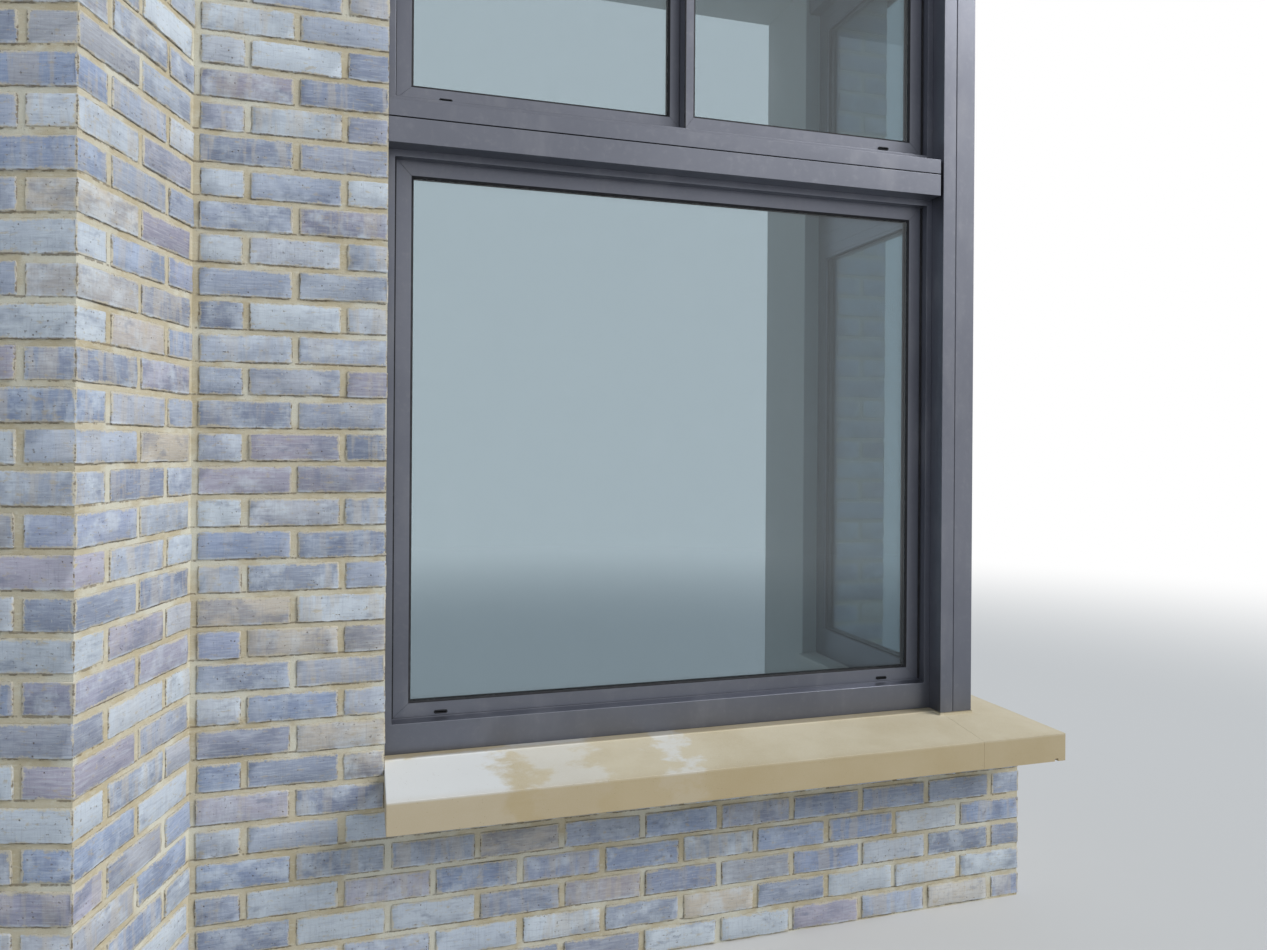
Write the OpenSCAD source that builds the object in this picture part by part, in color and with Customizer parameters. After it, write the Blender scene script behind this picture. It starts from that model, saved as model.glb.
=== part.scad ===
// Corner bay window: brick pier, apron and stone sill under bronze aluminium windows, with the wing wall it stands
// against. X runs along the front to the right, Y into the room, Z up. The origin is at ground level, in the middle
// of the plan. The walls are laid out from the inner corner between wing and pier, then moved to the origin.

/* [Brickwork] */
// Height of one course, brick and bed joint
course_h = 79.5; // [70:0.5:85]
// Length of one brick with its joint
brick_l = 225; // [200:1:250]
// Thickness of the outside walls
wall_t = 350; // [300:5:450]
// Bricks across the pier left of the window
pier_bricks = 2; // [1:1:4]
// Bricks along the wing's return, from its corner to the pier
return_bricks = 2; // [1:1:4]
// Bricks across the stub of the wing's front
wing_bricks = 3; // [3:1:6]
// Angle between the wing's front and the bay's front
wing_angle = 16.75; // [0:0.25:30]
// Courses from the ground to the underside of the sill
apron_courses = 6; // [3:1:12]
// Courses of the wing above the bay's piers
parapet_courses = 2; // [2:1:6]

/* [Sill] */
// Height of the sill's nose
sill_nose_h = 80; // [50:1:100]
// Height of the sill under the frame
sill_seat_h = 111; // [101:1:140]
// Projection of the sill past the front brick face
sill_front_out = 175; // [100:5:220]
// Projection of the sill past the side brick face
sill_side_out = 25; // [10:5:80]
// Level seat of the sill in front of the frame
seat_out = 30; // [10:1:40]
// Drop of the cove in front of the level seat
seat_drop = 5; // [3:0.5:8]
// Margin of the level seat round the post
seat_margin = 2; // [1:1:10]
// Distance of the drip groove from the sill's nose
drip_in = 25; // [15:1:40]
// Width of the drip groove
drip_w = 12; // [6:1:16]
// Depth of the drip groove
drip_d = 8; // [4:1:12]
// Distance from the post's left side to the joint of the corner stone
stone_joint_in = 15; // [5:1:60]

/* [Plan] */
// Width of the front opening between pier and post
front_w = 1642; // [1400:1:2000]
// Width of the side window behind the post
side_w = 650; // [500:1:900]
// Width of the square corner post
post_w = 110; // [90:1:130]
// Setback of post and transom behind the brick face
post_in = 12; // [5:1:30]
// Distance of the post's seam from its edge
post_seam_in = 43; // [30:1:55]
// Width and depth of the post's seam
post_seam = 3; // [2:0.5:4]
// Setback of the window frames behind the brick face
frame_in = 70; // [50:1:80]
// How far the side wall stands out past the post
side_ledge = 163; // [100:1:250]
// Depth of the pier behind the side window
back_pier_w = 338; // [225:1:450]

/* [Frames] */
// Seen width of the frame beside the sash
frame_face = 19; // [15:1:30]
// Height of a lower frame's bottom member
lower_foot = 79; // [60:1:100]
// Height of a lower frame's top member
lower_head = 56; // [40:1:80]
// Height of a lower frame
lower_h = 1620; // [1200:1:1800]
// Height of an upper frame
upper_h = 852; // [800:1:900]
// Height of an upper frame's bottom member
upper_foot = 102; // [80:1:110]
// Height of an upper frame's top member
upper_head = 40; // [30:1:60]
// Depth of the frame's lip in front of the sash
lip_d = 30; // [20:1:35]
// Rise of the sloping ledge below a sash
ledge_rise = 6; // [3:1:10]
// Lap of the frame's head over the sash
head_lap = 6; // [3:1:10]
// Gap between the tracks of the two upper panels
track_gap = 4; // [2:1:8]
// Step up from the outer track to the inner one
track_step = 11; // [8:1:25]
// Slip between a sash and its frame, and glass and sash
fit = 0.3; // [0.2:0.1:0.5]

/* [Sashes] */
// Seen width of a sash's upright
stile = 43; // [38:1:60]
// Height of a lower sash's bottom rail
lower_rail = 38; // [30:1:70]
// Height of a sash's top rail
top_rail = 45; // [40:1:70]
// Height of an upper sash's bottom rail
upper_rail = 38; // [30:1:70]
// Seen width of the meeting upright
meeting_stile = 28; // [24:1:50]
// Distance from the pier to the outer panel's left edge
meeting_x = 829; // [780:1:900]
// Overlap of the two panels
meeting_lap = 14; // [5:1:25]
// Thickness of the sash in front of the glass
glass_lip = 6; // [4:1:8]
// Thickness of the double glazing
glass_t = 24; // [20:1:26]
// Glass hidden in the sash at each edge
glass_cover = 13; // [8:1:14]
// How far a glazing bead stays back from the edge of the seen glass
bead_back = 1; // [0:0.5:4]

/* [Transom] */
// Height of the cover between the windows
cover_h = 65; // [50:1:75]
// Height from the lower frame's top down to the cover's underside
cover_drop = 38; // [20:1:45]
// Black joint over the cover
cover_joint = 2.5; // [1:0.5:5]
// Height of the band below the upper window
band_h = 43.5; // [35:0.5:50]
// Open joint between the transom and the post
transom_gap = 10; // [4:1:20]

/* [Roof] */
// Height of the head beams
beam_h = 120; // [80:1:200]
// Thickness of the roof deck
deck_t = 60; // [40:5:120]
// Overhang of the deck past the brick faces
deck_out = 30; // [20:5:80]
// Thickness of the metal edge trim
trim_t = 6; // [4:1:10]
// Height of the edge trim
trim_h = 102; // [80:1:160]
// How far the trim hangs below the deck
trim_drop = 20; // [10:1:40]
// Thickness of the roof covering
covering_t = 10; // [5:1:15]
// Thickness of the ceiling board
ceiling_t = 15; // [12:1:25]
// Thickness of a window board
board_t = 22; // [18:1:30]
// Nosing of a window board past the wall's inner face
board_nose = 25; // [10:1:40]

/* [Hidden] */
// A cut passes this far beyond the faces it goes through
past = 1;

// Levels
apron_top = apron_courses * course_h;
sill_top = apron_top + sill_seat_h;
nose_top = apron_top + sill_nose_h;
transom_z = sill_top + lower_h;
head_z = transom_z + upper_h;
pier_top = head_z + beam_h;
wing_top = pier_top + parapet_courses * course_h;

// Plan, from the inner corner between wing and pier
pier_w = pier_bricks * brick_l;
return_w = return_bricks * brick_l;
wing_w = wing_bricks * brick_l;
post_x0 = pier_w + front_w;
post_x1 = post_x0 + post_w;
post_y1 = post_in + post_w;
side_x = post_x1 + side_ledge;
side_inner_x = side_x - wall_t;
side_plane_x = post_x1 + post_in;
window_y1 = post_y1 + side_w;
back_y = window_y1 + back_pier_w;

// The frames' mitre behind the post runs from its inner corner to the sashes' inner corner
frame_d = post_w - (frame_in - post_in) + frame_face;
frame_back = frame_in + frame_d;
sash_d = frame_d - lip_d;
bead_d = sash_d - glass_lip - glass_t;
inner_track = frame_d + track_gap;
double_d = inner_track + sash_d;
frame_back_x = side_plane_x - frame_back;
beam_d = frame_in + double_d - post_in;
beam_back = post_in + beam_d;
beam_back_x = post_x1 - beam_d;

seat_edge = frame_in - seat_out;
wash_top = sill_top - seat_drop;
sill_x1 = side_x + sill_side_out;
// Steps of the cove's quarter round
cove_steps = 4;
stone_joint_x = post_x0 + stone_joint_in;

deck_x1 = side_x + deck_out;
deck_y0 = -deck_out;
trim_x1 = deck_x1 + trim_t;
trim_y0 = deck_y0 - trim_t;

// The wing's return face leans to the right as it goes back
function lean_x(y) = y * tan(wing_angle);
wing_corner = [-return_w * sin(wing_angle), -return_w * cos(wing_angle)];
wing_left = [-cos(wing_angle), sin(wing_angle)];
wing_outer_s = (back_y - wall_t * sin(wing_angle)) / cos(wing_angle);
wing_outer_x = wing_outer_s * sin(wing_angle) - wall_t * cos(wing_angle);

// Middle of the plan
box_x0 = wing_corner[0] + wing_w * wing_left[0];
mid_x = (box_x0 + trim_x1) / 2;
mid_y = (wing_corner[1] + back_y) / 2;

module to_origin() {
  translate([-mid_x, -mid_y, 0]) children();
}

// Places a window drawn from its left end, with Y going in from the face plane
module on_front() {
  to_origin() translate([pier_w, 0, 0]) children();
}

module on_side() {
  to_origin() translate([side_plane_x, post_y1, 0]) rotate([0, 0, 90]) children();
}

// Extrudes a Y-Z outline along X
module along_x(length) {
  rotate([90, 0, 90]) linear_extrude(length) children();
}

// Brickwork
module brickwork(height) {
  color("#b3b0ad") linear_extrude(height) children();
}

module wing_front_wall() {
  to_origin() rotate([0, 0, -wing_angle])
    brickwork(wing_top) translate([-wing_w, -return_w]) square([wing_w - wall_t, wall_t]);
}

module wing_side_wall() {
  to_origin() brickwork(wing_top) polygon([
    wing_corner,
    [lean_x(back_y), back_y],
    [wing_outer_x, back_y],
    wing_corner + wall_t * wing_left
  ]);
}

module left_pier() {
  to_origin() brickwork(pier_top)
    polygon([[0, 0], [pier_w, 0], [pier_w, wall_t], [lean_x(wall_t), wall_t]]);
}

module front_apron() {
  to_origin() {
    brickwork(apron_top) translate([pier_w, 0]) square([side_x - pier_w, wall_t]);
    brickwork(sill_top) translate([pier_w, frame_back]) square([frame_back_x - pier_w, wall_t - frame_back]);
  }
}

module side_apron() {
  to_origin() {
    brickwork(apron_top) translate([side_inner_x, wall_t]) square([wall_t, window_y1 - wall_t]);
    brickwork(sill_top) translate([side_inner_x, wall_t])
      square([frame_back_x - side_inner_x, window_y1 - wall_t]);
  }
}

module right_pier() {
  to_origin() brickwork(pier_top) translate([side_inner_x, window_y1]) square([wall_t, back_pier_w]);
}

// Stone sill: a level seat under the frame, a cove, a slope down to the nose, and a drip groove below
module sill_section(out, back) {
  polygon(concat(
    [[back, apron_top], [back, sill_top]],
    [for (i = [0:cove_steps]) [
      seat_edge - seat_drop * (1 - cos(90 * i / cove_steps)),
      sill_top - seat_drop * sin(90 * i / cove_steps)
    ]],
    [
      [-out, nose_top], [-out, apron_top],
      [drip_in - out, apron_top], [drip_in - out, apron_top + drip_d],
      [drip_in + drip_w - out, apron_top + drip_d], [drip_in + drip_w - out, apron_top]
    ]
  ));
}

// Level seat for the post, from x0 to x1 and back to y1
module post_seat(x0, x1, y1) {
  y0 = post_in - seat_margin;
  translate([x0, y0, nose_top]) cube([x1 - x0, y1 - y0, sill_top - nose_top]);
}

module front_sill_run(x0, x1) {
  translate([x0, 0, 0]) along_x(x1 - x0) sill_section(sill_front_out, frame_back);
}

// The side run is drawn with its own Y going in from the post's side plane
module side_sill_run(y0, y1, back) {
  translate([side_plane_x, y0, 0]) rotate([0, 0, 90]) along_x(y1 - y0)
    sill_section(sill_x1 - side_plane_x, back);
}

module front_sill() {
  color("#c9ae7e") to_origin() {
    front_sill_run(pier_w, stone_joint_x);
    post_seat(post_x0 - seat_margin, stone_joint_x, frame_back);
  }
}

module corner_sill() {
  color("#c9ae7e") to_origin() {
    intersection() {
      front_sill_run(stone_joint_x, sill_x1);
      side_sill_run(-sill_front_out, frame_back, side_plane_x - stone_joint_x);
    }
    post_seat(stone_joint_x, post_x1 + seat_margin, post_y1 + seat_margin);
  }
}

module side_sill() {
  color("#c9ae7e") to_origin() side_sill_run(frame_back, window_y1, frame_back);
}

// One frame member all round, with a sloping ledge and a lapping head. Depth d takes one track, or two
module frame(w, h, foot, head, d) {
  seat = foot + ledge_rise;
  seat_back = d > frame_d ? seat + track_step : seat;
  color("#6a605c") translate([0, frame_in, 0]) difference() {
    cube([w, d, h]);
    translate([frame_face, 0, 0]) along_x(w - 2 * frame_face) polygon([
      [-past, foot], [0, foot], [lip_d, seat], [inner_track, seat],
      [inner_track, seat_back], [d + past, seat_back], [d + past, h - head + head_lap],
      [lip_d, h - head + head_lap], [lip_d, h - head], [-past, h - head]
    ]);
  }
}

// Height of the sash that stands in a frame
function sash_h(h, foot, head) = h - foot - ledge_rise - head + head_lap - fit;

// Sash with its glazing pocket open to the room. b, t, l and r are the seen rails and uprights
module sash(w, h, l, r, b, t) {
  color("#6f6561") difference() {
    cube([w, sash_d, h]);
    translate([l, -past, b]) cube([w - l - r, sash_d + 2 * past, h - b - t]);
    translate([l - glass_cover, glass_lip, b - glass_cover])
      cube([w - l - r + 2 * glass_cover, sash_d, h - b - t + 2 * glass_cover]);
  }
}

module glass(w, h, l, r, b, t) {
  color("#cfe0da", 0.4) translate([l - glass_cover + fit, glass_lip, b - glass_cover])
    cube([w - l - r + 2 * (glass_cover - fit), glass_t, h - b - t + 2 * glass_cover - fit]);
}

module beads(w, h, l, r, b, t) {
  side = glass_cover - fit;
  color("#6f6561") translate([0, glass_lip + glass_t, 0]) difference() {
    translate([l - side, 0, b - glass_cover])
      cube([w - l - r + 2 * side, bead_d, h - b - t + 2 * glass_cover - fit]);
    translate([l - bead_back, -past, b - bead_back])
      cube([w - l - r + 2 * bead_back, bead_d + 2 * past, h - b - t + 2 * bead_back]);
  }
}

// A fixed light's sash, glass or beads, seated in a frame that starts at height z
module in_frame(z, foot) {
  translate([frame_face + fit, frame_in + lip_d, z + foot + ledge_rise]) children();
}

function inner_w(w) = w - 2 * (frame_face + fit);
lower_sash_h = sash_h(lower_h, lower_foot, lower_head);
upper_sash_h = sash_h(upper_h, upper_foot, upper_head);

// Inner corner of the front frames: mitred behind the post, then ending at the side frame's back
module front_corner_cut() {
  right = front_w - frame_face;
  translate([0, post_y1, 0]) linear_extrude(head_z) polygon([
    [front_w, 0], [right, frame_face], [right, double_d], [front_w + past, double_d], [front_w + past, 0]
  ]);
}

module side_corner_cut() {
  translate([0, frame_back - frame_face, 0]) linear_extrude(head_z)
    polygon([[-past, frame_face + past], [-past, -past], [0, 0], [frame_face, frame_face], [frame_face, frame_face + past]]);
}

module lower_front_frame() {
  on_front() difference() {
    translate([0, 0, sill_top]) frame(front_w, lower_h, lower_foot, lower_head, frame_d);
    front_corner_cut();
  }
}

module lower_front_sash() {
  on_front() in_frame(sill_top, lower_foot)
    sash(inner_w(front_w), lower_sash_h, stile, stile, lower_rail, top_rail);
}

module lower_front_glass() {
  on_front() in_frame(sill_top, lower_foot)
    glass(inner_w(front_w), lower_sash_h, stile, stile, lower_rail, top_rail);
}

module lower_front_beads() {
  on_front() in_frame(sill_top, lower_foot)
    beads(inner_w(front_w), lower_sash_h, stile, stile, lower_rail, top_rail);
}

module lower_side_frame() {
  on_side() difference() {
    translate([0, 0, sill_top]) frame(side_w, lower_h, lower_foot, lower_head, frame_d);
    side_corner_cut();
  }
}

module lower_side_sash() {
  on_side() in_frame(sill_top, lower_foot)
    sash(inner_w(side_w), lower_sash_h, stile, stile, lower_rail, top_rail);
}

module lower_side_glass() {
  on_side() in_frame(sill_top, lower_foot)
    glass(inner_w(side_w), lower_sash_h, stile, stile, lower_rail, top_rail);
}

module lower_side_beads() {
  on_side() in_frame(sill_top, lower_foot)
    beads(inner_w(side_w), lower_sash_h, stile, stile, lower_rail, top_rail);
}

// Transom: a box cover over the meeting of the frames, a black joint, and the upper frame's band
module transom_bar(x0, x1, z, h) {
  color("#6f6764") translate([x0, post_in, z]) cube([x1 - x0, frame_in - post_in, h]);
}

cover_z = transom_z - cover_drop;
band_z = cover_z + cover_h + cover_joint;

module front_transom_cover() {
  on_front() transom_bar(0, front_w - transom_gap, cover_z, cover_h);
}

module side_transom_cover() {
  on_side() transom_bar(transom_gap, side_w, cover_z, cover_h);
}

module front_transom_band() {
  on_front() transom_bar(0, front_w - transom_gap, band_z, band_h);
}

module side_transom_band() {
  on_side() transom_bar(transom_gap, side_w, band_z, band_h);
}

// Upper front window: two panels on two tracks, the right one outside
module upper_front_frame() {
  on_front() difference() {
    translate([0, 0, transom_z]) frame(front_w, upper_h, upper_foot, upper_head, double_d);
    front_corner_cut();
  }
}

left_panel_w = meeting_x + meeting_lap - frame_face - fit;
right_panel_w = front_w - frame_face - fit - meeting_x;
left_panel_h = upper_sash_h - track_step;

module left_place() {
  on_front() translate([frame_face + fit, frame_in + inner_track, transom_z + upper_foot + ledge_rise + track_step])
    children();
}

module right_place() {
  on_front() translate([meeting_x, frame_in + lip_d, transom_z + upper_foot + ledge_rise]) children();
}

module upper_left_panel() {
  left_place() sash(left_panel_w, left_panel_h, stile, stile, upper_rail, top_rail);
}

module upper_left_glass() {
  left_place() glass(left_panel_w, left_panel_h, stile, stile, upper_rail, top_rail);
}

module upper_left_beads() {
  left_place() beads(left_panel_w, left_panel_h, stile, stile, upper_rail, top_rail);
}

module upper_right_panel() {
  right_place() sash(right_panel_w, upper_sash_h, meeting_stile, stile, upper_rail, top_rail);
}

module upper_right_glass() {
  right_place() glass(right_panel_w, upper_sash_h, meeting_stile, stile, upper_rail, top_rail);
}

module upper_right_beads() {
  right_place() beads(right_panel_w, upper_sash_h, meeting_stile, stile, upper_rail, top_rail);
}

module upper_side_frame() {
  on_side() difference() {
    translate([0, 0, transom_z]) frame(side_w, upper_h, upper_foot, upper_head, frame_d);
    side_corner_cut();
  }
}

module upper_side_sash() {
  on_side() in_frame(transom_z, upper_foot)
    sash(inner_w(side_w), upper_sash_h, stile, stile, upper_rail, top_rail);
}

module upper_side_glass() {
  on_side() in_frame(transom_z, upper_foot)
    glass(inner_w(side_w), upper_sash_h, stile, stile, upper_rail, top_rail);
}

module upper_side_beads() {
  on_side() in_frame(transom_z, upper_foot)
    beads(inner_w(side_w), upper_sash_h, stile, stile, upper_rail, top_rail);
}

// Post and head beams
module corner_post() {
  h = head_z - sill_top;
  color("#6f6764") to_origin() translate([post_x0, post_in, sill_top]) difference() {
    cube([post_w, post_w, h]);
    translate([post_seam_in, -past, -past]) cube([post_seam, post_seam + past, h + 2 * past]);
    translate([post_w - post_seam, post_seam_in, -past]) cube([post_seam + past, post_seam, h + 2 * past]);
  }
}

module front_head_beam() {
  color("#6f6764") to_origin() translate([pier_w, post_in, head_z])
    cube([post_x1 - pier_w, beam_d, pier_top - head_z]);
}

module side_head_beam() {
  color("#6f6764") to_origin() translate([beam_back_x, beam_back, head_z])
    cube([beam_d, window_y1 - beam_back, pier_top - head_z]);
}

// Ceiling and flat roof
module ceiling_board() {
  color("#e8e6e0") to_origin() translate([0, 0, pier_top - ceiling_t]) linear_extrude(ceiling_t) polygon([
    [pier_w, beam_back], [beam_back_x, beam_back], [beam_back_x, window_y1], [side_inner_x, window_y1],
    [side_inner_x, back_y], [lean_x(back_y), back_y], [lean_x(wall_t), wall_t], [pier_w, wall_t]
  ]);
}

module deck_outline() {
  polygon([[lean_x(deck_y0), deck_y0], [deck_x1, deck_y0], [deck_x1, back_y], [lean_x(back_y), back_y]]);
}

module roof_deck() {
  color("#a08c6c") to_origin() translate([0, 0, pier_top]) linear_extrude(deck_t) deck_outline();
}

module roof_covering() {
  color("#4b4c4f") to_origin() translate([0, 0, pier_top + deck_t]) linear_extrude(covering_t) deck_outline();
}

module roof_edge_trim() {
  color("#6f6764") to_origin() translate([0, 0, pier_top - trim_drop]) linear_extrude(trim_h) polygon([
    [lean_x(trim_y0), trim_y0], [trim_x1, trim_y0], [trim_x1, back_y],
    [deck_x1, back_y], [deck_x1, deck_y0], [lean_x(deck_y0), deck_y0]
  ]);
}

// Window boards on the inner edge of the aprons
module front_window_board() {
  color("#e3ded2") to_origin() translate([pier_w, frame_back, sill_top])
    cube([frame_back_x - pier_w, wall_t + board_nose - frame_back, board_t]);
}

module side_window_board() {
  color("#e3ded2") to_origin() translate([side_inner_x - board_nose, wall_t + board_nose, sill_top])
    cube([frame_back_x - side_inner_x + board_nose, window_y1 - wall_t - board_nose, board_t]);
}

wing_front_wall();
wing_side_wall();
left_pier();
front_apron();
side_apron();
right_pier();
front_sill();
corner_sill();
side_sill();
lower_front_frame();
lower_front_sash();
lower_front_glass();
lower_front_beads();
lower_side_frame();
lower_side_sash();
lower_side_glass();
lower_side_beads();
front_transom_cover();
side_transom_cover();
front_transom_band();
side_transom_band();
upper_front_frame();
upper_left_panel();
upper_left_glass();
upper_left_beads();
upper_right_panel();
upper_right_glass();
upper_right_beads();
upper_side_frame();
upper_side_sash();
upper_side_glass();
upper_side_beads();
corner_post();
front_head_beam();
side_head_beam();
ceiling_board();
roof_deck();
roof_covering();
roof_edge_trim();
front_window_board();
side_window_board();
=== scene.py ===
"""Dresses the corner bay window: brickwork, stone sill, bronze windows, glazing, linings and flat roof."""

import math
import random

import bmesh
import bpy
from bpy.props import FloatProperty, FloatVectorProperty, PointerProperty
from bpy.types import Operator, Panel, PropertyGroup
from mathutils import Matrix, Vector


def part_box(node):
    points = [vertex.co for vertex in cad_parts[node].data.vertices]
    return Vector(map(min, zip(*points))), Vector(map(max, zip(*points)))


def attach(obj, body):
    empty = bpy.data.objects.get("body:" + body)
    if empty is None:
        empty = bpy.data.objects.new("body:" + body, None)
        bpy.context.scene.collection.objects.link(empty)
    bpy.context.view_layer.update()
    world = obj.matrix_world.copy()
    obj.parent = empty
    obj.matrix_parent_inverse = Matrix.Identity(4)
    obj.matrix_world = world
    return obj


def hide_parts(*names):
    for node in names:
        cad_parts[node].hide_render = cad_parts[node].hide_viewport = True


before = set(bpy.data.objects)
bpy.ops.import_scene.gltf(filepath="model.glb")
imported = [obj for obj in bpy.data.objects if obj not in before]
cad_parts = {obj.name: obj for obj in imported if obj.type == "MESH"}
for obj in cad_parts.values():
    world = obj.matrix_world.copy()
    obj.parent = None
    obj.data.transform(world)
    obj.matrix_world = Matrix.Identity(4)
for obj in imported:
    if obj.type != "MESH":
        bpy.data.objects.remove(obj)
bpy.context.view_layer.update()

bl_info = {
    "name": "Corner Bay Window",
    "version": (1, 0, 0),
    "blender": (4, 5, 0),
    "location": "View3D > Sidebar > Bay Window",
    "description": "Adds bricks, stone, bronze metal, glazing and linings to a corner bay window",
    "category": "Add Mesh",
}

WALLS = ("left_pier", "front_apron", "side_apron", "right_pier")
SILLS = ("front_sill", "corner_sill", "side_sill")
# Each light: its sash, and the turn about Z that brings a window drawn along X to its place
LIGHTS = {
    "lower_front": ("lower_front_sash", 0.0),
    "upper_left": ("upper_left_panel", 0.0),
    "upper_right": ("upper_right_panel", 0.0),
    "lower_side": ("lower_side_sash", math.pi / 2),
    "upper_side": ("upper_side_sash", math.pi / 2),
}
FRAMES = ("lower_front_frame", "upper_front_frame", "lower_side_frame", "upper_side_frame")
TRIMS = (
    "front_transom_cover",
    "side_transom_cover",
    "front_transom_band",
    "side_transom_band",
    "corner_post",
    "front_head_beam",
    "side_head_beam",
    "roof_edge_trim",
)


def low(node):
    """Lowest corner of a CAD node."""
    return Vector(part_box(node)[0])


def high(node):
    """Highest corner of a CAD node."""
    return Vector(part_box(node)[1])


def rgb(red, green, blue):
    """A colour read off a screen, 0 to 255, as the linear values that materials take."""
    shares = (value / 255 for value in (red, green, blue))
    return tuple(s / 12.92 if s <= 0.04045 else ((s + 0.055) / 1.055) ** 2.4 for s in shares)


INNER_CORNER = low("left_pier")
PIER_X = high("left_pier").x
SIDE_X = high("front_apron").x
APRON_TOP = low("front_sill").z
SILL_TOP = high("front_sill").z
PIER_TOP = high("left_pier").z
ROOM_Y = low("front_window_board").y
ROOM_X = high("front_window_board").x
SIDE_END = low("right_pier").y
BACK_Y = high("right_pier").y
# How far the bricks stop short of the ends where the walls are cut
CUT = 0.003
# Slack for telling one face of a wall from the next
SLACK = 0.0005
# Clearance between pieces that touch
TOUCH = 0.0001
# From the brick face of the wing to just short of its plaster
WING_DEPTH = 0.34
# Distance between the uneven spots along a brick's edge
CHIP_STEP = 0.030
# The shortest piece of brick that is still laid
SHORTEST = 0.04
# How far the right pier's bricks run on into the side window's reveal
INTO_REVEAL = 0.058
# The photograph's focal length and width in pixels, and the camera's film width
FOCUS = 909.0
PHOTO_WIDTH = 1267
FILM = 36.0


def length(name, description, default):
    """A length that a user may change, in metres."""
    return FloatProperty(name=name, description=description, default=default, min=0.0, unit="LENGTH")


def colour(name, description, default):
    """A colour that a user may change."""
    return FloatVectorProperty(
        name=name, description=description, default=default, min=0.0, max=1.0, subtype="COLOR"
    )


class BrickSettings(PropertyGroup):
    course: length("Course", "Height of a brick and its bed joint", APRON_TOP / 6)
    brick: length("Brick", "Length of a brick and its joint", (PIER_X - INNER_CORNER.x) / 2)
    joint: length("Bed Joint", "Height of the mortar beds", 0.0130)
    perpend: length("Perpend", "Width of the upright joints", 0.0150)
    drop: length("Drop", "How far a brick lies below the middle of its course", 0.0015)
    proud: length("Proud", "How far the bricks stand in front of the mortar", 0.0018)
    arris: length("Arris", "Wear along a brick's edges", 0.0026)
    shift: length("Shift", "How far a brick strays along its course and in height", 0.0012)
    wander: length("Wander", "How far a brick strays in depth", 0.0010)
    tilt: FloatProperty(
        name="Tilt", description="How far a brick leans", default=math.radians(0.45), subtype="ANGLE"
    )
    wing_angle: FloatProperty(
        name="Wing Angle",
        description="Angle between the wing's front and the bay's front",
        default=math.radians(16.75),
        subtype="ANGLE",
    )
    grey: colour("Grey", "Grey bricks", rgb(161, 170, 188))
    slate: colour("Slate", "Blue-grey bricks", rgb(148, 162, 190))
    plum: colour("Plum", "Purple-grey bricks", rgb(166, 162, 177))
    pale: colour("Pale", "Pale bricks", rgb(197, 206, 215))
    buff: colour("Buff", "Sandy bricks", rgb(195, 186, 172))
    smoke: colour("Smoke", "Dark grey bricks", rgb(136, 145, 166))
    bloom: colour("Bloom", "Pale bloom on the faces", rgb(212, 221, 229))
    soot: colour("Soot", "Dark marks on the faces", rgb(109, 118, 141))
    # Dark chips, specks and pits, and also the painted shade along the bricks' feet and under them
    chip_and_shade: colour("Crumb", "Dark chips along the arrises", rgb(104, 90, 72))
    mortar: colour("Mortar", "Sandy mortar", rgb(202, 194, 172))
    mortar_shade: colour("Mortar Shade", "Darker sand in the mortar", rgb(184, 170, 138))
    mortar_pale: colour("Pale Mortar", "Whitish mortar", rgb(218, 218, 206))


class StoneSettings(PropertyGroup):
    arris: length("Arris", "Wear along the sill's edges", 0.0022)
    honey: colour("Honey", "Colour of the sill's stone", rgb(204, 193, 167))
    ochre: colour("Ochre", "Darker beds and damp stone", rgb(183, 167, 132))
    # Pale shell in the grain, and the pale patches of painted light on the sill's top
    pale_and_lit: colour("Dry", "Pale dry patches", rgb(220, 223, 226))


class MetalSettings(PropertyGroup):
    arris: length("Arris", "Rounding of the profiles' edges", 0.0012)
    mitre_gap: length("Mitre Gap", "Hairline gap at the mitres", 0.0002)
    lip: length("Lip", "Height of the upstand behind a frame's ledge", 0.003)
    bronze: colour("Bronze", "Anodised bronze finish", rgb(113, 116, 126))
    bronze_dark: colour("Dark Bronze", "Darker tone of the finish", rgb(104, 107, 117))
    dust: colour("Dust", "Pale dust on the finish", rgb(160, 160, 162))


class GlazingSettings(PropertyGroup):
    cover: length("Cover", "Glass hidden in the sash at each edge", 0.013)
    slip: length("Slip", "Slip between glass and sash", 0.0003)
    pane: length("Pane", "Thickness of one pane", 0.006)
    gasket: length("Gasket", "Seen width of the rubber round the glass", 0.006)
    gasket_rise: length("Gasket Rise", "How far the outer gasket stands in front of the glass", 0.0046)
    gasket_slope: length("Gasket Slope", "How far its face falls back towards the glass", 0.0030)
    seal: length("Seal", "Width of the weather seal round a sash", 0.004)
    seal_depth: length("Seal Depth", "How far the weather seal stands in front of the sash", 0.0034)
    rubber_arris: length("Rubber Arris", "Rounding of gaskets and seals", 0.0006)
    pane_arris: length("Pane Arris", "Ground edge of a pane", 0.0008)
    drain_length: length("Drain Length", "Length of a drain cap", 0.036)
    drain_height: length("Drain Height", "Height of a drain cap", 0.009)
    drain_left: length("Drain Left", "From the glass's left edge to a lower light's drain cap", 0.085)
    drain_right: length("Drain Right", "From the glass's right edge to a lower light's drain cap", 0.090)
    panel_left: length("Panel Left", "The same on the left panel", 0.092)
    panel_right: length("Panel Right", "The same on the right panel", 0.095)
    drain_drop: length("Drain Drop", "How far a drain cap lies below the middle of its rail", 0.008)
    tint: colour("Tint", "Colour of light through each face of a pane", (0.755, 0.80, 0.82))
    rubber: colour("Rubber", "Gaskets, seals and drain caps", rgb(30, 31, 35))
    spacer: colour("Spacer", "Bar between the panes", rgb(74, 76, 80))


class LiningSettings(PropertyGroup):
    board_arris: length("Board Arris", "Rounding of the window boards", 0.004)
    ceiling_arris: length("Ceiling Arris", "Rounding of the ceiling board", 0.001)
    plaster: colour("Plaster", "Painted plaster in the room", rgb(222, 221, 215))
    paint: colour("Paint", "Painted window boards", rgb(226, 222, 212))


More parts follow.
